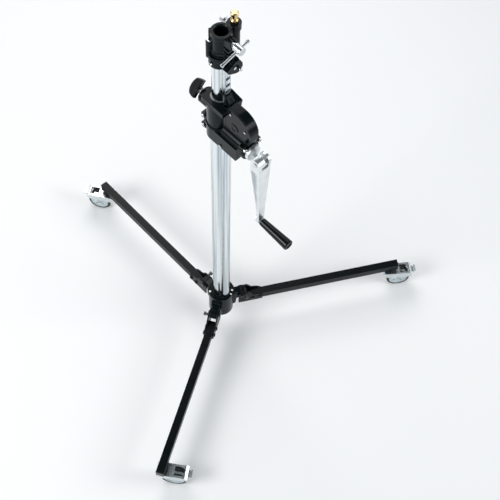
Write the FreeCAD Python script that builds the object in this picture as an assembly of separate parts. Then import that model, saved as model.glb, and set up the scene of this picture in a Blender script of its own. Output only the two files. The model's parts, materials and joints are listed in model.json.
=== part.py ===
import FreeCAD, Part
import math
import os
from FreeCAD import Vector

# A crank lighting stand: a three-legged wheeled base, a fixed outer column, and a riser that a
# self-locking worm drive and a rack lift. A socket and a spigot on the riser carry the lights.
# Millimetres, +Z up. The origin is on the floor, on the column's axis; the crank points along -Y.

os.makedirs("parts", exist_ok=True)

# ---- driving dimensions -------------------------------------------------------------------
leg_azimuths = {"a": 90, "b": -30, "c": -150}
caster_headings = {"a": 123, "b": -38, "c": -52}

leg_end = 550
leg_start = 80
leg_width = 22
leg_bottom = 83
leg_top = 108
leg_wall = 1.6
hinge_u = 62
hinge_z = 125
pin_radius = 4
running_gap = 0.05
plate_gap = 0.3
plate_thickness = 4
bolt_places = [(95, 95.5), (116, 95.5)]
lock_angle = 25
lock_reach = 11.5

hub_radius = 36
hub_bottom = 60
hub_top = 163
column_foot = 70
column_top = 980
column_radius = 22
lobe_radius = 17
lobe_offset = 13
column_wall = 2

riser_radius = 17.5
riser_wall = 2
riser_bottom = 180
riser_top = 1182
glide_height = 20
rack_half_width = 7.5
rack_face = -25
rack_bottom = 446
rack_top = 1160
tooth_pitch = 21
slot_half_width = 5.75
slot_height = 8.5
slot_corner = 3
first_slot = 1133.5
slot_count = 33

gear_teeth = 12
gear_y = -62.1
gear_z = 1018
gear_tip = 43
gear_root = 36
gear_left = 0.5
gear_right = 4.0
gear_hub_end = 4.6
wheel_teeth = 30
wheel_pitch_radius = 34.5
wheel_tip = 35.7
wheel_root = 32.6
wheel_half_width = 3.5
worm_x = -8
worm_pitch_radius = 6.6
worm_tip = 8
worm_root = 4.9
worm_turns = 5.5
worm_lead = 2 * math.pi * wheel_pitch_radius / wheel_teeth
worm_z = gear_z - wheel_pitch_radius - worm_pitch_radius
axle_radius = 6

box_bottom = 933
box_shelf = 972
flange_left = -33
flange_right = 22
flange_front = -44
flange_back = 26
flange_bottom = 1048
box_top = 1060
box_half_width = 30
case_radius = 48
chamber_radius = 44
case_left = -14.5
case_right = 9
case_top = 1068
shoulder_radius = 40
shoulder_y = -70
shoulder_z = case_top - shoulder_radius
cover_left = -17.5
cover_foot = 1003
cover_back = -33
chamber_left = -13
chamber_right = 5
axle_left = -16
axle_right = 7.5
box_front = -106
plate_radius = 24
lug_places = (-26.5, 14.7)
lug_z = 995

crank_pivot_y = -137
crank_pivot_z = 970
grip_z = 742
arm_face = -150
fork_half_width = 17
fork_left = -16.3
fork_right = 3
fork_floor = 953
ear_radius = 15
tongue_left = -16
tongue_right = -7

knob_z = 1018
knob_boss_radius = 20
knob_boss_end = 50
knob_start = 65
knob_tilt = 46
knob_half_width = 22.7
knob_half_thickness = 6.5

head_bottom = 1166
head_radius = 23
socket_top = 1251
socket_floor = 1186
socket_bore = 14.3
socket_radius = 20.5
socket_x = 4.5
post_x = 39
post_top = 1249
post_radius = 12
cup_radius = 14.6
spigot_radius = 8
spigot_top = 1277
lock_z = 1233
t_screw_z = 1238
t_head_start = -41
t_head_end = -60
t_head_radius = 9
t_bar_y = -50.5
t_bar_radius = 3
t_bar_length = 74
t_bar_shift = -11
t_bar_tilt = 15.6

swivel_u = 530
wheel_radius = 35
wheel_trail = 32
hood_top = 75
hood_half_width = 19
hood_wall = 2.2


# ---- small tools --------------------------------------------------------------------------
def rod(radius, start, end):
    """A round bar from one point to another."""
    start, end = Vector(*start), Vector(*end)
    return Part.makeCylinder(radius, (end - start).Length, start, end - start)


def taper(radius, end_radius, start, end):
    """A round bar whose radius changes evenly from one end to the other."""
    start, end = Vector(*start), Vector(*end)
    return Part.makeCone(radius, end_radius, (end - start).Length, start, end - start)


def ring(outer, inner, start, end):
    return rod(outer, start, end).cut(rod(inner, start, end))


def block(low, high):
    """A box between its lowest and highest corners."""
    size = Vector(*high) - Vector(*low)
    return Part.makeBox(size.x, size.y, size.z, Vector(*low))


def prism(points, sweep):
    """The flat outline through the points, pushed along the sweep."""
    corners = [Vector(*p) for p in points]
    return Part.Face(Part.makePolygon(corners + corners[:1])).extrude(Vector(*sweep))


def turned(points, centre, axis):
    """A solid of revolution of the closed outline through the points."""
    corners = [Vector(*p) for p in points]
    face = Part.Face(Part.makePolygon(corners + corners[:1]))
    return face.revolve(Vector(*centre), Vector(*axis), 360)


def joined(*shapes):
    return shapes[0].multiFuse(list(shapes[1:])).removeSplitter()


def without(shape, *cutters):
    return shape.cut(list(cutters))


def placed(shape, azimuth, where=(0, 0, 0)):
    """A copy that is turned about the vertical and then moved."""
    copy = shape.copy()
    copy.rotate(Vector(0, 0, 0), Vector(0, 0, 1), azimuth)
    copy.translate(Vector(*where))
    return copy


def cap_screw(start, end, shank, head, head_height):
    """A screw with its tip at start and its head beyond end; the head has a hexagon socket."""
    start, end = Vector(*start), Vector(*end)
    along = (end - start).normalize()
    top = end + along * head_height
    screw = rod(shank, start, end).fuse(rod(head, end, top))
    return screw.cut(rod(head * 0.5, top - along * head_height * 0.6, top)).removeSplitter()


def save(name, *pieces):
    for piece in pieces:
        if not piece.isValid() or piece.Volume <= 0:
            print("not a good solid:", name)
    shape = pieces[0] if len(pieces) == 1 else Part.makeCompound(list(pieces))
    shape.exportStep(f"parts/{name}.step")


def two_lobes(inset, bottom, top):
    """The column's section, a round with a smaller round in front of it, as a solid bar."""
    main = rod(column_radius - inset, (0, 0, bottom), (0, 0, top))
    lobe = rod(lobe_radius - inset, (0, -lobe_offset, bottom), (0, -lobe_offset, top))
    return joined(main, lobe)


# ---- base hub -----------------------------------------------------------------------------
def leg_lug():
    """The hub's tongue for one leg, along +X, with the hinge bore and the lock pin's track."""
    half = leg_width / 2 - plate_gap - 1
    web = prism(
        [(20, -half, 102), (hinge_u, -half, 110), (hinge_u, -half, 140), (20, -half, 150)],
        (0, 2 * half, 0),
    )
    root = prism(
        [(20, -16, 80), (41, -16, 92), (44, -16, 128), (40, -16, 146), (20, -16, 152)],
        (0, 32, 0),
    )
    eye = rod(16, (hinge_u, -half, hinge_z), (hinge_u, half, hinge_z))
    bore = rod(pin_radius + running_gap, (hinge_u, -20, hinge_z), (hinge_u, 20, hinge_z))
    track = ring(
        lock_reach + 3, lock_reach - 3, (hinge_u, -20, hinge_z), (hinge_u, -2.5, hinge_z)
    )
    return without(joined(web, root, eye), bore, track)


def hub_pieces():
    body = rod(hub_radius, (0, 0, hub_bottom + 6), (0, 0, hub_top - 5))
    foot = taper(hub_radius - 5, hub_radius, (0, 0, hub_bottom), (0, 0, hub_bottom + 6))
    lip = rod(hub_radius + 1.5, (0, 0, hub_top - 5), (0, 0, hub_top))
    lugs = [placed(leg_lug(), azimuth) for azimuth in leg_azimuths.values()]
    groove_x = math.sqrt(column_radius**2 - 14**2)
    fillers = []
    for side in (-1, 1):
        low = (side * groove_x * 1.08, -15.3, hub_top - 2)
        high = (side * groove_x * 1.02, -14.4, hub_top + 27)
        fillers.append(taper(6.5, 0.5, low, high))
    hub = joined(body, foot, lip, *lugs, *fillers)
    hub = without(hub, two_lobes(0, column_foot, hub_top + 40))
    screws = []
    for azimuth in (-72, -48, 30, 150):
        a = math.radians(azimuth)
        x, y = (hub_radius - 3.2) * math.cos(a), (hub_radius - 3.2) * math.sin(a)
        screws.append(cap_screw((x, y, hub_top - 12), (x, y, hub_top), 1.6, 3, 2.6))
    save("base_hub", without(hub, *screws))
    save("hub_screws", *screws)


# ---- legs ---------------------------------------------------------------------------------
def leg_pieces(name, azimuth):
    half = leg_width / 2
    tube = block((leg_start, -half, leg_bottom), (leg_end, half, leg_top))
    hollow = block(
        (leg_start - 1, -half + leg_wall, leg_bottom + leg_wall),
        (leg_end + 1, half - leg_wall, leg_top - leg_wall),
    )
    plate_outer = half + plate_thickness
    stem_hole = rod(6, (swivel_u, 0, leg_bottom - 1), (swivel_u, 0, leg_bottom + 5))
    bolts = []
    for u, z in bolt_places:
        bolts.append(
            joined(
                cap_screw((u, plate_outer, z), (u, -plate_outer, z), 3, 5.5, 3.2),
                rod(5, (u, plate_outer, z), (u, plate_outer + 3.5, z)),
            )
        )
    pin = joined(
        cap_screw(
            (hinge_u, plate_outer, hinge_z), (hinge_u, -plate_outer, hinge_z), pin_radius, 5.5, 3.4
        ),
        rod(6.5, (hinge_u, plate_outer, hinge_z), (hinge_u, plate_outer + 3.4, hinge_z)),
    )
    bolts.append(pin)

    a = math.radians(lock_angle)
    lock_u, lock_z = hinge_u + lock_reach * math.cos(a), hinge_z + lock_reach * math.sin(a)
    lock_hole = rod(2.5 + running_gap, (lock_u, 0, lock_z), (lock_u, -30, lock_z))
    plates = []
    for side in (-1, 1):
        outline = [
            (51, side * half, leg_bottom), (124, side * half, leg_bottom),
            (124, side * half, 104), (112, side * half, 113), (96, side * half, 117),
            (82, side * half, 136), (51, side * half, 136),
        ]
        flat = prism(outline, (0, side * plate_thickness, 0))
        rounding = rod(13.5, (hinge_u, side * half, hinge_z), (hinge_u, side * plate_outer, hinge_z))
        corner = block((48, -20, hinge_z), (hinge_u, 20, 140))
        plates.append(without(joined(without(flat, corner), rounding), *bolts, lock_hole))

    lock = joined(
        rod(2.5, (lock_u, -3.2, lock_z), (lock_u, -22, lock_z)),
        rod(4.5, (lock_u, -plate_outer - 0.5, lock_z), (lock_u, -plate_outer - 4, lock_z)),
        rod(3.4, (lock_u, -plate_outer - 4, lock_z), (lock_u, -plate_outer - 8, lock_z)),
        rod(5.5, (lock_u, -plate_outer - 8, lock_z), (lock_u, -plate_outer - 14, lock_z)),
    )
    save(f"leg_tube_{name}", placed(without(tube, hollow, stem_hole, *bolts), azimuth))
    save(f"leg_bracket_{name}", *[placed(p, azimuth) for p in plates])
    save(f"leg_bolts_{name}", *[placed(b, azimuth) for b in bolts])
    save(f"leg_lock_{name}", placed(lock, azimuth))

    # the end fitting plugs the tube and holds the caster's kingpin
    slack = leg_wall + 0.05
    plug = block((500, -half + slack, leg_bottom + slack), (leg_end, half - slack, leg_top - slack))
    end_cap = block((leg_end, -half, leg_bottom), (leg_end + 3, half, leg_top))
    neck = rod(5.9, (swivel_u, 0, leg_bottom - 1), (swivel_u, 0, leg_bottom + 3))
    collar = taper(15.5, 11.5, (swivel_u, 0, 77), (swivel_u, 0, leg_bottom))
    kingpin = rod(pin_radius, (swivel_u, 0, 63), (swivel_u, 0, 78))
    rivet = rod(6.4, (swivel_u, 0, 62.4), (swivel_u, 0, 65.6))
    fitting = joined(plug, end_cap, neck, collar, kingpin, rivet)
    save(f"caster_stem_{name}", placed(fitting, azimuth))


# ---- casters ------------------------------------------------------------------------------
def hood():
    """The caster's housing: a hood over two wheels, with a web between them for the axle."""
    half = hood_half_width
    low = hood_top - 3
    outline = [
        (-18, -half, 63), (-18, -half, 71), (-14, -half, hood_top), (64, -half, hood_top),
        (70, -half, 71), (70, -half, 56), (56, -half, 50), (24, -half, 47), (-4, -half, 52),
    ]
    shell = prism(outline, (0, 2 * half, 0))
    inside = block((-15.5, -half + hood_wall, 40), (67.5, half - hood_wall, low))
    web = prism([(8, -3, low), (26, -3, 27), (38, -3, 27), (56, -3, low)], (0, 6, 0))
    eye = rod(8, (wheel_trail, -3.5, wheel_radius), (wheel_trail, 3.5, wheel_radius))
    boss = rod(8, (0, 0, 66), (0, 0, hood_top - 1))
    race = rod(12.5, (0, 0, hood_top - 1), (0, 0, hood_top + 1.6))
    window = block((33, -13, 61), (61, 13, hood_top + 5))
    pedal_gap = block((59.5, -11.5, 57), (75, 11.5, 71))
    kingpin_bore = rod(pin_radius + running_gap, (0, 0, 60), (0, 0, 80))
    axle_bore = rod(4, (wheel_trail, -5, wheel_radius), (wheel_trail, 5, wheel_radius))
    pedal_bore = rod(2 + running_gap, (62, -30, 66), (62, 30, 66))
    shell = joined(without(shell, inside), web, eye, boss, race)
    return without(shell, window, pedal_gap, kingpin_bore, axle_bore, pedal_bore)


def caster_wheel(side):
    """One perforated disc and its tyre, on one side of the web."""
    y = [side * 5, side * 14.5]
    middle = (wheel_trail, wheel_radius)
    disc = rod(28, (middle[0], y[0], middle[1]), (middle[0], y[1], middle[1]))
    dish = ring(25, 8, (middle[0], side * 12, middle[1]), (middle[0], side * 15, middle[1]))
    bore = rod(4 + running_gap, (middle[0], side, middle[1]), (middle[0], side * 20, middle[1]))
    holes = []
    for index in range(5):
        a = math.radians(72 * index + 90)
        x, z = middle[0] + 16.5 * math.cos(a), middle[1] + 16.5 * math.sin(a)
        holes.append(rod(4, (x, side, z), (x, side * 20, z)))
    outline = [
        (wheel_trail, side * 4.5, middle[1] + 28), (wheel_trail, side * 15, middle[1] + 28),
        (wheel_trail, side * 15, middle[1] + 32.5), (wheel_trail, side * 13, middle[1] + 34.6),
        (wheel_trail, side * 11, middle[1] + 35), (wheel_trail, side * 8.5, middle[1] + 35),
        (wheel_trail, side * 6.5, middle[1] + 34.6), (wheel_trail, side * 4.5, middle[1] + 32.5),
    ]
    tyre = turned(outline, (wheel_trail, 0, middle[1]), (0, 1, 0))
    return without(disc, dish, bore, *holes), tyre


def caster_pieces(name, azimuth, heading):
    a = math.radians(azimuth)
    where = (swivel_u * math.cos(a), swivel_u * math.sin(a), 0)
    wheels = [caster_wheel(side) for side in (-1, 1)]
    axle = rod(4, (wheel_trail, -15, wheel_radius), (wheel_trail, 15, wheel_radius))
    caps = [
        rod(6.5, (wheel_trail, side * 14.8, wheel_radius), (wheel_trail, side * 16.2, wheel_radius))
        for side in (-1, 1)
    ]
    pedal = joined(
        rod(2, (62, -hood_half_width, 66), (62, hood_half_width, 66)),
        block((60.5, -10, 64), (78, 10, 67.5)),
        prism([(76, -11, 60), (80, -11, 60), (82, -11, 72), (78.5, -11, 72)], (0, 22, 0)),
    )
    save(f"caster_housing_{name}", placed(hood(), heading, where))
    save(f"caster_disc_{name}", *[placed(disc, heading, where) for disc, _ in wheels])
    save(f"caster_tyre_{name}", *[placed(tyre, heading, where) for _, tyre in wheels])
    save(f"caster_axle_{name}", placed(joined(axle, *caps), heading, where))
    save(f"caster_pedal_{name}", placed(pedal, heading, where))


# ---- columns ------------------------------------------------------------------------------
def column_pieces():
    outer = two_lobes(0, column_foot, column_top)
    save("outer_column", without(outer, two_lobes(column_wall, column_foot - 1, column_top + 1)))

    save(
        "inner_column",
        ring(riser_radius, riser_radius - riser_wall, (0, 0, riser_bottom), (0, 0, riser_top)),
    )
    glide_outer = column_radius - column_wall - 2 * running_gap
    glide_top = riser_bottom + glide_height
    save("column_glide", ring(glide_outer, riser_radius, (0, 0, riser_bottom), (0, 0, glide_top)))

    bar = block((-rack_half_width, rack_face, rack_bottom), (rack_half_width, -13, rack_top))
    tube_seat = rod(riser_radius, (0, 0, rack_bottom - 1), (0, 0, rack_top + 1))
    flat = slot_half_width - slot_corner
    rise = slot_height / 2 - slot_corner
    slots = []
    for index in range(slot_count):
        z = first_slot - index * tooth_pitch
        wide = block((-slot_half_width, rack_face - 1, z - rise), (slot_half_width, -12, z + rise))
        tall = block((-flat, rack_face - 1, z - slot_height / 2), (flat, -12, z + slot_height / 2))
        corners = [
            rod(slot_corner, (x, rack_face - 1, z + dz), (x, -12, z + dz))
            for x in (-flat, flat)
            for dz in (-rise, rise)
        ]
        slots.append(joined(wide, tall, *corners))
    save("rack", without(bar, tube_seat, *slots))

    # the stop bracket hangs from the head, in front of the rack's top end
    outline = [
        (-13, 1170), (-8, 1161), (10, 1151), (18, 1149), (26, 1153),
        (30, 1161), (29, 1170), (22, 1183), (10, 1183), (-2, 1176),
    ]
    plate = prism([(x, -36, z) for x, z in outline], (0, 9, 0))
    web = without(
        block((2, -30, 1168), (24, -12, 1182)), rod(head_radius, (0, 0, 1160), (0, 0, 1190))
    )
    ball_screw = joined(
        rod(2.5, (19, -28, 1162), (19, -40, 1162)), Part.makeSphere(4.4, Vector(19, -41, 1162))
    )
    small_screw = cap_screw((6.5, -28, 1171), (6.5, -36, 1171), 2, 3.4, 2.6)
    save("rack_stop", without(joined(plate, web), ball_screw, small_screw))
    save("stop_screw", ball_screw, small_screw)


# ---- gearbox ------------------------------------------------------------------------------
def gearbox_screws():
    lug_screws = [
        cap_screw((x, -92, lug_z), (x, box_front, lug_z), 2.5, 4.5, 3.5) for x in lug_places
    ]
    cover_screws = []
    for azimuth in (20, 75, 150):
        a = math.radians(azimuth)
        y, z = gear_y + 39 * math.cos(a), gear_z + 39 * math.sin(a)
        cover_screws.append(cap_screw((-12.5, y, z), (cover_left, y, z), 1.5, 2.6, 1.2))
    ear_screws = [cap_screw((9, 37, z), (-13, 37, z), 2.6, 4.8, 4) for z in (932, 966)]
    shelf_screw = cap_screw((-20, -34, 940), (-box_half_width, -34, 940), 2.5, 4.2, 2.5)
    return lug_screws, cover_screws, ear_screws, shelf_screw


def case_outline(inset, left, right):
    """The gear case's side outline as a solid: flat on top, round at the front and below."""
    front = shoulder_y - shoulder_radius + inset
    top = case_top - inset
    return joined(
        rod(case_radius - inset, (left, gear_y, gear_z), (right, gear_y, gear_z)),
        rod(shoulder_radius - inset, (left, shoulder_y, shoulder_z), (right, shoulder_y, shoulder_z)),
        block((left, front, gear_z), (right, flange_front, shoulder_z)),
        block((left, shoulder_y, gear_z), (right, flange_front, top)),
    )


def cover_plate(inset, left, right):
    """The near cover's plate: it ends above the worm tube, beside the barrel and before the flange."""
    lower = block((left, -120, cover_foot + inset), (right, cover_back - inset, flange_bottom - inset))
    upper = block((left, -120, flange_bottom - 10), (right, flange_front - inset, case_top))
    reach = block((left, gear_y, cover_foot), (right, cover_back, flange_bottom))
    outline = joined(case_outline(inset, left, right), reach)
    return outline.common(joined(lower, upper)).removeSplitter()


def gearbox_pieces():
    lug_screws, cover_screws, ear_screws, shelf_screw = gearbox_screws()
    barrel = rod(29, (0, 0, box_bottom), (0, 0, box_top))
    shelf = joined(
        rod(box_half_width, (0, 0, box_bottom), (0, 0, box_shelf)),
        block((-box_half_width, -82, box_bottom), (box_half_width, 0, box_shelf)),
        rod(31.5, (0, 0, box_shelf - 3), (0, 0, box_shelf + 3)),
    )
    case = case_outline(0, case_left, case_right)
    worm_tube = rod(17, (worm_x, -30, worm_z), (worm_x, -102, worm_z))
    front_plate = joined(
        rod(plate_radius, (worm_x, -99, worm_z), (worm_x, box_front + 1.5, worm_z)),
        rod(15, (worm_x, -99, worm_z), (worm_x, box_front, worm_z)),
        block((lug_places[0], box_front + 1.5, lug_z - 7), (lug_places[1], -99, lug_z + 7)),
        *[rod(7, (x, -92, lug_z), (x, box_front + 1.5, lug_z)) for x in lug_places],
    )
    flange = joined(
        block((flange_left, flange_front, flange_bottom), (flange_right, 18, box_top)),
        block((flange_left + 8, 10, flange_bottom), (flange_right - 8, flange_back, box_top)),
        rod(8, (flange_left + 8, 18, flange_bottom), (flange_left + 8, 18, box_top)),
        rod(8, (flange_right - 8, 18, flange_bottom), (flange_right - 8, 18, box_top)),
    )
    flange = without(flange, block((-15, -60, flange_bottom), (15, -26, box_top + 1)))
    guide = prism(
        [(-8, -25.6, 1040), (-8, -25.6, 1082), (-8, -28, 1084), (-8, -42, 1061), (-8, -45, 1040)],
        (15.5, 0, 0),
    )
    wedge = prism(
        [(10, -20, 1058), (10, -12, 1072), (10, -45, 1066), (10, -45, 1058)], (13, 0, 0)
    )
    guide_recess = prism(
        [(-5, -30, 1080.6), (-5, -39.6, 1064.4), (-5, -35.2, 1061.9), (-5, -27.4, 1079.1)],
        (9.5, 0, 0),
    )
    ears = joined(
        block((-13, 20, 924), (13, 38, 976)),
        *[rod(10, (-13, 37, z), (13, 37, z)) for z in (932, 966)],
    )
    boss = joined(
        rod(knob_boss_radius, (0, 20, knob_z), (0, knob_boss_end - 2, knob_z)),
        taper(knob_boss_radius, knob_boss_radius - 2,
              (0, knob_boss_end - 2, knob_z), (0, knob_boss_end, knob_z)),
    )
    body = joined(barrel, shelf, case, worm_tube, front_plate, flange, guide, wedge, ears, boss)

    chamber = rod(chamber_radius, (chamber_left, gear_y, gear_z), (chamber_right, gear_y, gear_z))
    # the cover's seat stops at the worm tube, which passes in front of the gears
    seat = without(
        rod(chamber_radius, (case_left - 1, gear_y, gear_z), (chamber_left, gear_y, gear_z)),
        rod(17, (worm_x, -120, worm_z), (worm_x, 0, worm_z)),
    )
    riser_way = joined(
        rod(21, (0, 0, column_top - 0.05), (0, 0, box_top + 20)),
        block((-9, -25.6, column_top), (9, 0, box_top + 20)),
    )
    worm_way = joined(
        rod(8.8, (worm_x, -96, worm_z), (worm_x, -39, worm_z)),
        rod(9, (worm_x, -40, worm_z), (worm_x, -34, worm_z)),
        rod(9, (worm_x, box_front - 1, worm_z), (worm_x, -95, worm_z)),
    )
    axle_way = rod(axle_radius + running_gap, (0, gear_y, gear_z), (axle_right + 0.3, gear_y, gear_z))
    slit = block((-1.5, 19, 920), (1.5, 49, 990))
    stud_way = rod(3.5 + running_gap, (0, 15, knob_z), (0, knob_boss_end + 1, knob_z))
    body = without(
        body, two_lobes(0, box_bottom - 14, column_top), riser_way, chamber, seat, worm_way,
        axle_way, slit, stud_way, guide_recess, *lug_screws, *ear_screws, *cover_screws, shelf_screw,
    )
    save("gearbox_body", body)

    cover = joined(
        cover_plate(0, cover_left, case_left),
        rod(chamber_radius - 0.05, (case_left, gear_y, gear_z), (chamber_left, gear_y, gear_z)),
    )
    cover = without(
        joined(
            without(cover, cover_plate(2.2, cover_left - 1, cover_left + 0.8)),
            rod(12, (cover_left - 0.8, gear_y, gear_z), (case_left, gear_y, gear_z)),
        ),
        rod(axle_radius + running_gap, (axle_left - 0.2, gear_y, gear_z), (0, gear_y, gear_z)),
        block((cover_left - 2, gear_y - 6, gear_z - 6), (cover_left + 0.6, gear_y + 6, gear_z + 6)),
        rod(17 + running_gap, (worm_x, -120, worm_z), (worm_x, 0, worm_z)),
        *cover_screws,
    )
    save("gear_cover", cover)
    save("gearbox_screws", *lug_screws, *cover_screws, *ear_screws, shelf_screw)

    bush = ring(21, riser_radius + running_gap, (0, 0, column_top + 2), (0, 0, box_top - 4))
    bush = without(bush, block((-9, -30, column_top), (9, 0, box_top)), stud_way)
    save("column_bush", bush)
    save(
        "shaft_bushes",
        ring(9, worm_root + running_gap, (worm_x, -40, worm_z), (worm_x, -34, worm_z)),
        ring(9, worm_root + running_gap, (worm_x, -104.5, worm_z), (worm_x, -95, worm_z)),
    )


def toothed(teeth, root, tip, root_width, tip_width, left, right, first_angle):
    """A spur wheel about the X axis through the gear's centre, with straight-sided teeth."""
    wheel = rod(root, (left, gear_y, gear_z), (right, gear_y, gear_z))
    outline = [
        (left, root - 1, -root_width / 2), (left, tip, -tip_width / 2),
        (left, tip, tip_width / 2), (left, root - 1, root_width / 2),
    ]
    tooth = prism(outline, (right - left, 0, 0))
    shapes = [wheel]
    for index in range(teeth):
        copy = tooth.copy()
        copy.rotate(Vector(0, 0, 0), Vector(1, 0, 0), first_angle + index * 360 / teeth)
        copy.translate(Vector(0, gear_y, gear_z))
        shapes.append(copy)
    return joined(*shapes)


def drive_pieces():
    gear = toothed(gear_teeth, gear_root, gear_tip, 6.4, 3.6, gear_left, gear_right, 15)
    lightening = []
    for index in range(6):
        a = math.radians(60 * index)
        y, z = gear_y + 23 * math.cos(a), gear_z + 23 * math.sin(a)
        lightening.append(rod(6, (gear_left - 1, y, z), (gear_right + 1, y, z)))
    gear_hub = rod(12, (gear_left, gear_y, gear_z), (gear_hub_end, gear_y, gear_z))
    axle_hole = rod(axle_radius, (-20, gear_y, gear_z), (20, gear_y, gear_z))
    save("drive_gear", without(joined(gear, gear_hub), axle_hole, *lightening))

    left, right = worm_x - wheel_half_width, worm_x + wheel_half_width
    wheel = toothed(wheel_teeth, wheel_root, wheel_tip, 2.6, 1.5, left, right, -90)
    hub = rod(12, (chamber_left + 0.5, gear_y, gear_z), (gear_left, gear_y, gear_z))
    save("worm_wheel", without(joined(wheel, hub), axle_hole))
    axle = rod(axle_radius, (axle_left, gear_y, gear_z), (axle_right, gear_y, gear_z))
    save("wheel_axle", axle)

    # a left-hand thread, so that turning the crank clockwise raises the riser
    helix = Part.makeHelix(worm_lead, worm_turns * worm_lead, worm_root, 0, True)
    profile = Part.makePolygon([
        Vector(worm_root - 0.4, 0, -1.5), Vector(worm_tip, 0, -0.75),
        Vector(worm_tip, 0, 0.75), Vector(worm_root - 0.4, 0, 1.5),
        Vector(worm_root - 0.4, 0, -1.5),
    ])
    thread = Part.Wire(helix.Edges).makePipeShell([profile], True, True)
    thread.rotate(Vector(0, 0, 0), Vector(1, 0, 0), -90)
    thread.translate(Vector(worm_x, gear_y + worm_lead / 4 - 3 * worm_lead, worm_z))
    core = rod(worm_root, (worm_x, -36, worm_z), (worm_x, -114, worm_z))
    save("crank_shaft", joined(core, thread))


# ---- crank --------------------------------------------------------------------------------
def crank_pieces():
    along_x = (worm_x - 40, worm_x + 40)
    disc = joined(
        rod(19, (worm_x, -116, worm_z), (worm_x, -108.5, worm_z)),
        taper(16, 19, (worm_x, -107.5, worm_z), (worm_x, -108.5, worm_z)),
    )
    tongue_ends = [(x, crank_pivot_y, crank_pivot_z) for x in (tongue_left, tongue_right)]
    tongue = joined(
        block((tongue_left, crank_pivot_y, crank_pivot_z - 11), (tongue_right, -114, crank_pivot_z + 11)),
        rod(ear_radius - 0.4, *tongue_ends),
    )
    shaft_hole = rod(worm_root, (worm_x, -114, worm_z), (worm_x, -100, worm_z))
    pivot_hole = rod(
        pin_radius + running_gap,
        (along_x[0], crank_pivot_y, crank_pivot_z), (along_x[1], crank_pivot_y, crank_pivot_z),
    )
    save("crank_hub", without(joined(disc, tongue), shaft_hole, pivot_hole))

    wide = fork_half_width
    outer = worm_x - wide, worm_x + wide
    # the pivot's rivet, and a short stop pin in the fork's open side
    stations = (outer[0] - 1.5, outer[0], outer[1], outer[1] + 1.5)
    points = [(x, crank_pivot_y, crank_pivot_z) for x in stations]
    pin = joined(
        rod(pin_radius, points[1], points[2]), rod(6, points[0], points[1]), rod(6, points[2], points[3])
    )
    stop_pin = rod(2.2, (-6, -145.5, 962), (fork_right + 3, -145.5, 962))
    side = joined(
        prism(
            [
                (outer[0], arm_face, crank_pivot_z), (outer[0], arm_face, grip_z - 9),
                (outer[0], -141, grip_z - 9), (outer[0], -141, 790), (outer[0], -122, 948),
                (outer[0], -122, crank_pivot_z),
            ],
            (2 * wide, 0, 0),
        ),
        rod(ear_radius, points[1], points[2]),
    )
    front = joined(
        prism(
            [
                (outer[0], -160, crank_pivot_z + 16), (outer[0], -160, 935),
                (worm_x - 9, -160, 770), (worm_x - 9, -160, grip_z),
                (worm_x + 9, -160, grip_z), (worm_x + 9, -160, 770),
                (outer[1], -160, 935), (outer[1], -160, crank_pivot_z + 16),
            ],
            (0, 50, 0),
        ),
        rod(9, (worm_x, -160, grip_z), (worm_x, -110, grip_z)),
    )
    slot = block((fork_left, -155, fork_floor), (fork_right, -118, 990))
    foot_boss = rod(9, (worm_x, -141, grip_z), (worm_x, -137, grip_z))
    grooves = []
    for direction in (-1, 1):
        outline = [
            (worm_x + direction * 9.5, -146.5, 942), (worm_x + direction * 9.5, -146.5, 770),
            (worm_x + direction * 9.5, -143.5, 770), (worm_x + direction * 9.5, -143.5, 800),
            (worm_x + direction * 9.5, -127, 925), (worm_x + direction * 9.5, -127, 942),
        ]
        grooves.append(prism(outline, (direction * 10, 0, 0)))
    spindle = joined(
        rod(4, (worm_x, -137, grip_z), (worm_x, -236, grip_z)),
        rod(6, (worm_x, -134.8, grip_z), (worm_x, -137, grip_z)),
        rod(6.5, (worm_x, arm_face, grip_z), (worm_x, arm_face - 2, grip_z)),
    )
    arm = without(joined(side.common(front), foot_boss), slot, pin, stop_pin, spindle, *grooves)
    save("crank_pin", pin, stop_pin)
    save("crank_arm", arm)
    save("grip_spindle", spindle)

    profile = [
        (worm_x, -152.4, grip_z), (worm_x, -152.4, grip_z + 9), (worm_x, -154, grip_z + 9.8),
        (worm_x, -239, grip_z + 13.2), (worm_x, -241.2, grip_z + 12.4), (worm_x, -242, grip_z + 11),
        (worm_x, -242, grip_z),
    ]
    grip = turned(profile, (worm_x, 0, grip_z), (0, 1, 0))
    dish = taper(6.5, 9.5, (worm_x, -239.5, grip_z), (worm_x, -242.1, grip_z))
    spindle_way = rod(4 + running_gap, (worm_x, -150, grip_z), (worm_x, -237, grip_z))
    save("crank_grip", without(grip, spindle_way, dish))


def friction_pieces():
    """The friction knob: a half-moon wing on a stud, turned so that its flat leans over."""
    stud = rod(3.5, (0, 18.2, knob_z), (0, knob_start + 12, knob_z))
    half = knob_half_width
    outline = [
        (-half, knob_start), (-half + 0.6, knob_start + 8), (-half + 3, knob_start + 15.5),
        (-half + 8.5, knob_start + 19.5), (-half + 15, knob_start + 21.6), (0, knob_start + 22.4),
    ]
    outline += [(-x, y) for x, y in outline[-2::-1]]
    plate = prism([(x, y, -knob_half_thickness) for x, y in outline], (0, 0, 2 * knob_half_thickness))
    hub = rod(8, (0, knob_start - 2, 0), (0, knob_start + 2, 0))
    knob = plate.makeChamfer(1.6, [
        edge for edge in plate.Edges if abs(edge.Vertexes[0].Z - edge.Vertexes[-1].Z) < 0.1
    ]).fuse(hub)
    knob.rotate(Vector(0, 0, 0), Vector(0, 1, 0), -knob_tilt)
    knob.translate(Vector(0, 0, knob_z))
    save("friction_stud", stud)
    save("friction_knob", without(knob, stud))


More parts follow.
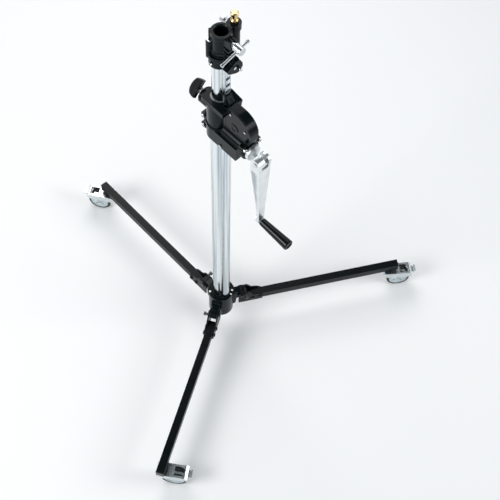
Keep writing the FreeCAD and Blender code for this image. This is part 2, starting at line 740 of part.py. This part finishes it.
# ---- head ---------------------------------------------------------------------------------
def head_pieces():
    spigot = joined(
        rod(6, (post_x, 0, 1206), (post_x, 0, post_top)),
        rod(spigot_radius, (post_x, 0, post_top), (post_x, 0, post_top + 7)),
        taper(spigot_radius, 5, (post_x, 0, post_top + 7), (post_x, 0, post_top + 10)),
        rod(5, (post_x, 0, post_top + 10), (post_x, 0, spigot_top - 10)),
        taper(5, spigot_radius, (post_x, 0, spigot_top - 10), (post_x, 0, spigot_top - 8)),
        rod(spigot_radius, (post_x, 0, spigot_top - 8), (post_x, 0, spigot_top - 2.5)),
        taper(spigot_radius, 5.5, (post_x, 0, spigot_top - 2.5), (post_x, 0, spigot_top)),
    )
    lock = joined(
        rod(3, (post_x, 6.2, lock_z), (post_x, 28, lock_z)),
        rod(6.8, (post_x, 26, lock_z), (post_x, 36, lock_z)),
    )
    side_bolt = cap_screw((-14, 14.5, 1190), (-14, 14.5, 1222), 3, 5, 5)
    cup_screw = cap_screw((-18.5, 0, 1176), (-24, 0, 1176), 2.5, 4, 3)
    save("head_bolts", side_bolt, cup_screw)
    save("spigot", spigot)
    save("spigot_screw", lock)

    cheeks = [
        block((socket_x + side, -35, 1229), (socket_x + side + 3.5, -10, 1245)) for side in (-9.5, 6)
    ]
    fins = [block((-6, -32, z), (14, -12, z + 3.5)) for z in (1196, 1207, 1218)]
    body = joined(
        rod(head_radius, (0, 0, head_bottom), (0, 0, 1193)),
        rod(head_radius + 1.2, (0, 0, 1186), (0, 0, 1190)),
        rod(socket_radius, (socket_x, 0, 1190), (socket_x, 0, socket_top)),
        rod(socket_radius + 1.5, (socket_x, 0, 1200), (socket_x, 0, 1203)),
        rod(socket_radius + 1.3, (socket_x, 0, socket_top - 8), (socket_x, 0, socket_top - 1.2)),
        rod(7.8, (socket_x, -10, t_screw_z), (socket_x, -31, t_screw_z)),
        rod(7.5, (-14, 14.5, 1181), (-14, 14.5, 1222)),
        rod(4, (-10, 15.5, 1205), (-10, 15.5, socket_top + 1)),
        block((10, -7, 1192), (post_x, 7, 1236)),
        rod(post_radius, (post_x, 0, 1180), (post_x, 0, post_top - 15)),
        rod(cup_radius, (post_x, 0, post_top - 15), (post_x, 0, post_top)),
        taper(8, post_radius, (post_x, 0, 1173), (post_x, 0, 1180)),
        rod(8, (post_x, 0, lock_z), (post_x, 18, lock_z)),
        *cheeks, *fins,
    )
    body = without(
        body,
        rod(riser_radius, (0, 0, head_bottom - 1), (0, 0, riser_top)),
        rod(socket_bore, (socket_x, 0, socket_floor), (socket_x, 0, socket_top + 1)),
        taper(socket_bore, 16.6, (socket_x, 0, socket_top - 2), (socket_x, 0, socket_top + 0.3)),
        rod(5 + running_gap, (socket_x, -8, t_screw_z), (socket_x, -40, t_screw_z)),
        rod(3 + running_gap, (post_x, 5, lock_z), (post_x, 19, lock_z)),
        rod(6, (post_x, 0, 1206), (post_x, 0, post_top + 1)),
        side_bolt, cup_screw,
    )
    save("head_casting", body)

    tilt = math.radians(t_bar_tilt)
    across = Vector(math.cos(tilt), 0, math.sin(tilt))
    middle = Vector(socket_x, t_bar_y, t_screw_z)
    bar_middle = middle + across * t_bar_shift
    tips = [bar_middle + across * (side * t_bar_length / 2) for side in (-1, 1)]
    bar = rod(t_bar_radius, tuple(tips[0]), tuple(tips[1]))
    for tip, side in zip(tips, (-1, 1)):
        inner = tip - across * (side * 4)
        bar = bar.fuse(rod(t_bar_radius + 1, tuple(inner), tuple(tip)))
    bar_way = rod(
        t_bar_radius + running_gap, tuple(middle - across * 20), tuple(middle + across * 20)
    )
    screw = joined(
        rod(5, (socket_x, -15, t_screw_z), (socket_x, t_head_start - 2, t_screw_z)),
        rod(t_head_radius, (socket_x, t_head_start, t_screw_z), (socket_x, t_head_end, t_screw_z)),
    )
    save("t_screw", without(screw, bar_way))
    save("t_bar", bar.removeSplitter())


hub_pieces()
for leg, leg_azimuth in leg_azimuths.items():
    leg_pieces(leg, leg_azimuth)
    caster_pieces(leg, leg_azimuth, caster_headings[leg])
column_pieces()
gearbox_pieces()
drive_pieces()
crank_pieces()
friction_pieces()
head_pieces()
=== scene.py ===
import json
import math

import bmesh
import bpy
from mathutils import Matrix, Vector


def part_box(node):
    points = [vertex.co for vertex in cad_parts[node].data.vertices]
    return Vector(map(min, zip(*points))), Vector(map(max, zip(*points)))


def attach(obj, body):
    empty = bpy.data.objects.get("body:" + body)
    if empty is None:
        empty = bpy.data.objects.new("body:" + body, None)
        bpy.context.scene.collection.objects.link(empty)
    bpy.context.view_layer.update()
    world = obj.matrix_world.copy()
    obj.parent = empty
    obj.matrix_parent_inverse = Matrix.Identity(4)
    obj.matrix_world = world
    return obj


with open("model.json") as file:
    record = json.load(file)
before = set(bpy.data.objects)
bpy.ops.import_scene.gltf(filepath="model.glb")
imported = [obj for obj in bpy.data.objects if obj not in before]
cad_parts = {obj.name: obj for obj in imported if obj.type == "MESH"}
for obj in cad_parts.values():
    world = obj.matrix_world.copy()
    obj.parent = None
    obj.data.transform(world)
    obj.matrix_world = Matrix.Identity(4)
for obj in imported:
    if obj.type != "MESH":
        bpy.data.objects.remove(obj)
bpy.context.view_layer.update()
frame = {"nodes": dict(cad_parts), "record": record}
nodes = frame["nodes"]

STEPS_PER_TURN = 36        # points round a thread for each turn
THREAD_DEPTH = 0.00045
THREAD_ROOT = 0.0004       # how far a thread's foot sinks into its shaft
RIM_STEPS = 48
RIM_HEIGHT = 0.001
SHARP_ANGLE = math.radians(30)
TIP_CAP_LENGTH = 0.0099
WELD_DISTANCE = 0.000002


# ---- material building blocks -----------------------------------------------------------
class Nodes:
    """One material's node tree, with short calls for the nodes that it uses."""

    def __init__(self, name):
        self.material = bpy.data.materials.new(name)
        self.material.use_nodes = True
        self.tree = self.material.node_tree
        self.shader = self.tree.nodes["Principled BSDF"]
        self.place = self.tree.nodes.new("ShaderNodeTexCoord").outputs["Object"]

    def link(self, source, target):
        self.tree.links.new(source, target)

    def scaled(self, x, y, z):
        """The object's own coordinates, stretched."""
        node = self.tree.nodes.new("ShaderNodeMapping")
        node.inputs["Scale"].default_value = (x, y, z)
        self.link(self.place, node.inputs["Vector"])
        return node.outputs["Vector"]

    def noise(self, scale, detail=4.0, roughness=0.55, where=None):
        node = self.tree.nodes.new("ShaderNodeTexNoise")
        node.inputs["Scale"].default_value = scale
        node.inputs["Detail"].default_value = detail
        node.inputs["Roughness"].default_value = roughness
        self.link(where or self.place, node.inputs["Vector"])
        return node.outputs["Fac"]

    def spread(self, value, low, high, to_low, to_high):
        node = self.tree.nodes.new("ShaderNodeMapRange")
        node.inputs["From Min"].default_value = low
        node.inputs["From Max"].default_value = high
        node.inputs["To Min"].default_value = to_low
        node.inputs["To Max"].default_value = to_high
        self.link(value, node.inputs["Value"])
        return node.outputs["Result"]

    def mix(self, factor, one, other):
        """A colour between two, which are colours or outputs of other nodes."""
        node = self.tree.nodes.new("ShaderNodeMix")
        node.data_type = "RGBA"
        self.link(factor, node.inputs["Factor"])
        for socket, colour in ((node.inputs["A"], one), (node.inputs["B"], other)):
            if isinstance(colour, tuple):
                socket.default_value = (*colour, 1.0)
            else:
                self.link(colour, socket)
        return node.outputs["Result"]

    def bump(self, height, strength, distance):
        node = self.tree.nodes.new("ShaderNodeBump")
        node.inputs["Strength"].default_value = strength
        node.inputs["Distance"].default_value = distance
        self.link(height, node.inputs["Height"])
        self.link(node.outputs["Normal"], self.shader.inputs["Normal"])

    def edges(self, radius):
        """How far the surface here is an outer edge, from 0 to 1; the mask for painted edge highlights.
        """
        node = self.tree.nodes.new("ShaderNodeBevel")
        node.samples = 4
        node.inputs["Radius"].default_value = radius
        geometry = self.tree.nodes.new("ShaderNodeNewGeometry")
        dot = self.tree.nodes.new("ShaderNodeVectorMath")
        dot.operation = "DOT_PRODUCT"
        self.link(node.outputs["Normal"], dot.inputs[0])
        self.link(geometry.outputs["Normal"], dot.inputs[1])
        return self.spread(dot.outputs["Value"], 1.0, 0.85, 0.0, 1.0)

    def finish_with(self, roughness):
        self.link(roughness, self.shader.inputs["Roughness"])
        return self.material


def metal(name, colour, dark, rough, grain, edge=0.0):
    """Bare or plated metal: fine drawn or tumbled grain, small stains, and a painted highlight that makes
    the edges brighter.
    """
    n = Nodes(name)
    n.shader.inputs["Metallic"].default_value = 1.0
    fine = n.noise(1.0, 5.0, 0.6, n.scaled(*grain))
    cloud = n.noise(38.0, 3.0, 0.5)
    tint = n.mix(n.spread(cloud, 0.35, 0.7, 0.0, 1.0), colour, dark)
    # painted highlight: the colour is made brighter along the outer edges
    if edge:
        tint = n.mix(n.edges(edge), tint, tuple(min(1.0, c * 1.12) for c in colour))
    n.link(tint, n.shader.inputs["Base Color"])
    n.bump(fine, 0.12, 0.0002)
    return n.finish_with(n.spread(fine, 0.3, 0.75, rough * 0.75, rough * 1.35))


def reflection_streaked_chrome(name, colour, dark, rough):
    """Plated tube: long blue-grey streaks along it, painted into the colour as painted reflections, under
    a fine polish.
    """
    n = Nodes(name)
    n.shader.inputs["Metallic"].default_value = 1.0
    n.shader.inputs["Anisotropic"].default_value = 0.4
    reflection_streak = n.noise(1.0, 3.0, 0.6, n.scaled(170, 170, 1.6))
    fine = n.noise(1.0, 5.0, 0.6, n.scaled(600, 600, 9))
    # painted reflection: blue-grey streaks mixed into the base colour
    n.link(n.mix(n.spread(reflection_streak, 0.42, 0.66, 0.0, 1.0), colour, dark), n.shader.inputs["Base Color"])
    n.bump(fine, 0.1, 0.0002)
    return n.finish_with(n.spread(reflection_streak, 0.3, 0.75, rough * 0.7, rough * 1.4))


def coating(name, colour, edge_highlight, rough, grain, relief, coat=0.0, edge=0.0):
    """Paint, powder coat or moulded plastic: a skin with its own texture, with a painted highlight in a
    lighter colour along the edges.
    """
    n = Nodes(name)
    n.shader.inputs["Specular IOR Level"].default_value = 0.1
    n.shader.inputs["Coat Weight"].default_value = coat
    n.shader.inputs["Coat Roughness"].default_value = 0.12
    peel = n.noise(grain, 3.0, 0.5)
    cloud = n.noise(24.0, 4.0, 0.6)
    tint = n.mix(n.spread(cloud, 0.3, 0.75, 0.0, 1.0), colour, tuple(c * 1.5 for c in colour))
    # painted highlight: the edges are mixed towards the lighter edge colour
    if edge:
        tint = n.mix(n.edges(edge), tint, edge_highlight)
    n.link(tint, n.shader.inputs["Base Color"])
    n.bump(peel, 0.25, relief)
    return n.finish_with(n.spread(cloud, 0.3, 0.7, rough * 0.85, rough * 1.15))


materials = {
    # the chrome's darker colour is the blue-grey of its painted reflection streaks
    "chromed_tube": reflection_streaked_chrome("chromed_tube", (0.80, 0.84, 0.86), (0.36, 0.45, 0.50), 0.16),
    "bright_steel": metal(
        "bright_steel", (0.72, 0.74, 0.75), (0.55, 0.58, 0.6), 0.2, (900, 900, 900), 0.0006
    ),
    "cast_aluminium": metal(
        "cast_aluminium", (0.84, 0.86, 0.87), (0.70, 0.74, 0.76), 0.34, (700, 700, 700), 0.001
    ),
    "zinc": metal("zinc", (0.82, 0.86, 0.88), (0.66, 0.72, 0.75), 0.27, (500, 500, 500), 0.001),
    # for the coatings, the second colour is a painted highlight along the edges, used where an edge
    # radius is given
    "caster_disc": coating(
        "caster_disc", (0.46, 0.52, 0.54), (0.66, 0.71, 0.72), 0.35, 900.0, 0.0001, 0.2, 0.001
    ),
    "brass_spigot": metal(
        "brass_spigot", (0.80, 0.58, 0.26), (0.60, 0.40, 0.14), 0.2, (300, 300, 4000), 0.0008
    ),
    "bronze": metal("bronze", (0.62, 0.42, 0.22), (0.5, 0.32, 0.16), 0.4, (900, 900, 900)),
    "dark_steel": metal(
        "dark_steel", (0.10, 0.11, 0.115), (0.06, 0.065, 0.07), 0.34, (900, 900, 900), 0.0008
    ),
    "black_casting": coating(
        "black_casting", (0.0022, 0.0045, 0.0052), (0.10, 0.12, 0.125), 0.2, 420.0, 0.0002, 0.05, 0.0008
    ),
    "black_tube": coating(
        "black_tube", (0.0022, 0.004, 0.0045), (0.03, 0.04, 0.042), 0.3, 1500.0, 0.0002, 0.06, 0.0008
    ),
    "black_plate": coating(
        "black_plate", (0.0025, 0.0045, 0.005), (0.06, 0.075, 0.08), 0.3, 1100.0, 0.0002, 0.08, 0.0008
    ),
    "black_plastic": coating(
        "black_plastic", (0.0025, 0.004, 0.0045), (0.02, 0.024, 0.025), 0.12, 300.0, 0.0001, 0.3
    ),
    "caster_tyre": coating(
        "caster_tyre", (0.03, 0.034, 0.035), (0.06, 0.065, 0.066), 0.55, 1200.0, 0.0004
    ),
    "bush_plastic": coating("bush_plastic", (0.6, 0.6, 0.58), (0.7, 0.7, 0.68), 0.5, 800.0, 0.0001),
}
slots = {part["node"]: part["material_slot"] for part in frame["record"]["subparts"]}
for name, node in nodes.items():
    node.data.materials.clear()
    node.data.materials.append(materials[slots[name]])


# ---- edge breaks on the CAD nodes --------------------------------------------------------
def break_edges(name, width, segments=2, angle=32):
    """A small rounding on a node's sharp edges."""
    node = nodes[name]
    weld = node.modifiers.new("one_skin", "WELD")
    weld.merge_threshold = WELD_DISTANCE
    bevel = node.modifiers.new("edge_break", "BEVEL")
    bevel.width = width
    bevel.segments = segments
    bevel.limit_method = "ANGLE"
    bevel.angle_limit = math.radians(angle)
    bevel.use_clamp_overlap = True
    node.modifiers.new("even_shading", "WEIGHTED_NORMAL").keep_sharp = True


EDGE_BREAKS = {
    "gearbox_body": 0.0009, "gear_cover": 0.0006, "head_casting": 0.0008, "base_hub": 0.001,
    "rack_stop": 0.0009, "crank_arm": 0.0016, "crank_hub": 0.0008, "rack": 0.0006,
    "friction_knob": 0.0011, "t_screw": 0.0009, "t_bar": 0.0006, "spigot": 0.0006,
    "spigot_screw": 0.0006, "stop_screw": 0.0004, "gearbox_screws": 0.0004, "hub_screws": 0.0004,
    "head_bolts": 0.0005, "crank_pin": 0.0004, "outer_column": 0.0008,
}
LEG_EDGE_BREAKS = {
    "leg_tube": 0.0018, "leg_bracket": 0.0005, "leg_bolts": 0.0005, "leg_lock": 0.0006,
    "caster_stem": 0.0006, "caster_housing": 0.0008, "caster_disc": 0.0005, "caster_pedal": 0.0006,
}
for name, width in EDGE_BREAKS.items():
    break_edges(name, width)
for name, width in LEG_EDGE_BREAKS.items():
    for leg in "abc":
        break_edges(f"{name}_{leg}", width)


# ---- detail pieces ------------------------------------------------------------------------
def turn_to(direction):
    """The rotation that takes +Z to a direction."""
    return Vector(direction).to_track_quat("Z", "Y").to_matrix()


def add_piece(name, shape, body, material):
    """A mesh from bmesh, made in the row frame, that rides on a body."""
    bmesh.ops.recalc_face_normals(shape, faces=shape.faces)
    mesh = bpy.data.meshes.new(name)
    shape.to_mesh(mesh)
    shape.free()
    mesh.shade_smooth()
    mesh.set_sharp_from_angle(angle=SHARP_ANGLE)
    piece = bpy.data.objects.new(name, mesh)
    bpy.context.scene.collection.objects.link(piece)
    mesh.materials.append(materials[material])
    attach(piece, body)
    return piece


def loop_mesh(rows, closed=True):
    """A skin through rows of points; each row is a ring of the same length."""
    shape = bmesh.new()
    rings = [[shape.verts.new(point) for point in row] for row in rows]
    count = len(rings[0])
    for low, high in zip(rings, rings[1:]):
        for i in range(count):
            j = (i + 1) % count
            shape.faces.new((low[i], low[j], high[j], high[i]))
    if closed:
        shape.faces.new(rings[0])
        shape.faces.new(rings[-1])
    return shape


def fluted_cap(name, centre, direction, radius, length, flutes, body, material):
    """A turned cap with flutes round its side, chamfered at both ends."""
    frame_turn = turn_to(direction)
    profile = [
        (0.62, 0.0), (0.9, 0.0), (1.0, 0.1), (1.0, 0.86), (0.9, 1.0), (0.5, 1.0), (0.44, 0.9),
    ]
    steps = flutes * 6
    rows = []
    for share, height in profile:
        row = []
        for i in range(steps):
            angle = 2 * math.pi * i / steps
            depth = 0.055 * (1 + math.cos(flutes * angle)) / 2 if share > 0.8 else 0.0
            across = radius * share * (1 - depth)
            point = Vector((across * math.cos(angle), across * math.sin(angle), height * length))
            row.append(Vector(centre) + frame_turn @ point)
        rows.append(row)
    return add_piece(name, loop_mesh(rows), body, material)


def screw_thread(name, start, direction, radius, pitch, length, body, material):
    """A V-shaped ridge wound round a shaft, fading in and out at its ends."""
    frame_turn = turn_to(direction)
    steps = int(STEPS_PER_TURN * length / pitch)
    fade = STEPS_PER_TURN / 2
    rows = []
    for i in range(steps + 1):
        angle = 2 * math.pi * i / STEPS_PER_TURN
        ends = min(1.0, i / fade, (steps - i) / fade)
        crest = radius + THREAD_DEPTH * ends
        middle = length * i / steps
        row = []
        for across, along in (
            (radius - THREAD_ROOT, -0.45), (crest, -0.08), (crest, 0.08), (radius - THREAD_ROOT, 0.45),
        ):
            height = middle + along * pitch
            point = Vector((across * math.cos(angle), across * math.sin(angle), height))
            row.append(Vector(start) + frame_turn @ point)
        rows.append(row)
    return add_piece(name, loop_mesh(rows), body, material)


def socket_head(name, centre, direction, radius, depth, body, material):
    """The rim of a socket cap screw: a knurled ring with a six-sided recess."""
    frame_turn = turn_to(direction)
    hexagon = radius * 0.58
    rows = []
    for kind, height in (
        ("hexagon", 0.0), ("round", 0.0), ("round", 0.7), ("small", 1.0), ("lead", 1.0), ("hexagon", 0.7),
    ):
        row = []
        for i in range(RIM_STEPS):
            angle = 2 * math.pi * i / RIM_STEPS
            off = (angle % (math.pi / 3)) - math.pi / 6
            flat = hexagon * math.cos(math.pi / 6) / math.cos(off)
            knurl = 0.985 + 0.015 * math.cos(24 * angle)
            across = {
                "hexagon": flat, "lead": flat * 1.1, "small": radius * 0.93, "round": radius * knurl,
            }[kind]
            point = Vector((across * math.cos(angle), across * math.sin(angle), height * depth))
            row.append(Vector(centre) + frame_turn @ point)
        rows.append(row)
    rows.append(rows[0])
    return add_piece(name, loop_mesh(rows, closed=False), body, material)


def middle_of(name):
    low, high = (Vector(corner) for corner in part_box(name))
    return (low + high) / 2


def add_details():
    lock, screw, stud = (middle_of(name) for name in ("spigot_screw", "t_screw", "friction_stud"))
    lock_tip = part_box("spigot_screw")[1][1]
    fluted_cap(
        "spigot_screw_grip", (lock.x, lock_tip - 0.0098, lock.z), (0, 1, 0), 0.0074,
        TIP_CAP_LENGTH, 22, "spigot_screw", "bright_steel",
    )
    screw_thread(
        "t_screw_thread", (screw.x, -0.0325, screw.z), (0, -1, 0), 0.005, 0.0016, 0.0075,
        "t_screw", "bright_steel",
    )
    screw_thread(
        "stud_thread", (stud.x, 0.0515, stud.z), (0, 1, 0), 0.0035, 0.0012, 0.0105,
        "knob", "bright_steel",
    )
    # where the cap screws' heads end, the way they face and their radius
    gearbox_heads = (
        ((-0.0265, -0.1095, 0.995), (0, -1, 0), 0.0045),
        ((0.0147, -0.1095, 0.995), (0, -1, 0), 0.0045),
        ((-0.017, 0.037, 0.932), (-1, 0, 0), 0.0048),
        ((-0.017, 0.037, 0.966), (-1, 0, 0), 0.0048),
    )
    for index, (place, direction, radius) in enumerate(gearbox_heads):
        socket_head(
            f"gearbox_screw_rim_{index}", place, direction, radius, RIM_HEIGHT, "base", "bright_steel"
        )
    socket_head(
        "head_bolt_rim_0", (-0.014, 0.0145, 1.227), (0, 0, 1), 0.005, RIM_HEIGHT, "riser",
        "bright_steel",
    )


add_details()


# ---- stage, light and camera -------------------------------------------------------------
def make_stage():
    bpy.ops.mesh.primitive_plane_add(size=30, location=(0, 0, 0))
    floor = bpy.context.object
    floor.name = "floor"
    n = Nodes("floor")
    n.shader.inputs["Base Color"].default_value = (0.97, 0.97, 0.97, 1)
    n.shader.inputs["Specular IOR Level"].default_value = 0.1
    floor.data.materials.append(n.finish_with(n.spread(n.noise(3.0), 0.3, 0.7, 0.75, 0.85)))

    world = bpy.data.worlds.new("studio")
    bpy.context.scene.world = world
    world.use_nodes = True
    tree = world.node_tree
    background = tree.nodes["Background"]
    place = tree.nodes.new("ShaderNodeTexCoord").outputs["Generated"]
    height = tree.nodes.new("ShaderNodeSeparateXYZ")
    tree.links.new(place, height.inputs[0])
    ramp = tree.nodes.new("ShaderNodeMapRange")
    ramp.inputs["From Min"].default_value = 0.25
    ramp.inputs["From Max"].default_value = 0.8
    ramp.inputs["To Min"].default_value = 0.95
    ramp.inputs["To Max"].default_value = 0.12
    tree.links.new(height.outputs["Z"], ramp.inputs["Value"])
    tree.links.new(ramp.outputs["Result"], background.inputs["Strength"])
    background.inputs["Color"].default_value = (0.90, 0.96, 1.0, 1)


def add_light(name, place, target, size, power):
    data = bpy.data.lights.new(name, "AREA")
    data.shape = "RECTANGLE"
    data.size, data.size_y = size
    data.energy = power
    light = bpy.data.objects.new(name, data)
    bpy.context.scene.collection.objects.link(light)
    light.location = place
    light.rotation_euler = (Vector(target) - Vector(place)).to_track_quat("-Z", "Y").to_euler()


def add_camera():
    """The camera looks steeply down at the stand from its crank's left."""
    elevation, roll = math.radians(60.513), math.radians(2.833)
    turn = Matrix.Rotation(math.radians(-45.836), 3, "Z")
    back = turn @ Vector((0, -math.cos(elevation), math.sin(elevation)))
    level = turn @ Vector((1, 0, 0))
    up = back.cross(level)
    right = level * math.cos(roll) + up * math.sin(roll)
    above = back.cross(right)
    data = bpy.data.cameras.new("camera")
    data.sensor_width = 36
    data.lens = 67.6
    data.clip_end = 50
    camera = bpy.data.objects.new("camera", data)
    bpy.context.scene.collection.objects.link(camera)
    axes = Matrix((right, above, back)).transposed().to_4x4()
    camera.matrix_world = Matrix.Translation((-0.8403, -0.9265, 2.6134)) @ axes
    bpy.context.scene.camera = camera


make_stage()
add_light("key", (-2.4, 0.6, 2.3), (0, 0, 0.8), (1.4, 1.4), 48)
add_light("fill", (1.8, -2.4, 2.0), (0, 0, 0.8), (1.4, 1.4), 34)
add_light("back", (1.2, 2.0, 2.6), (0, 0, 0.7), (2.0, 2.0), 44)
add_camera()
bpy.context.scene.view_settings.view_transform = "Standard"
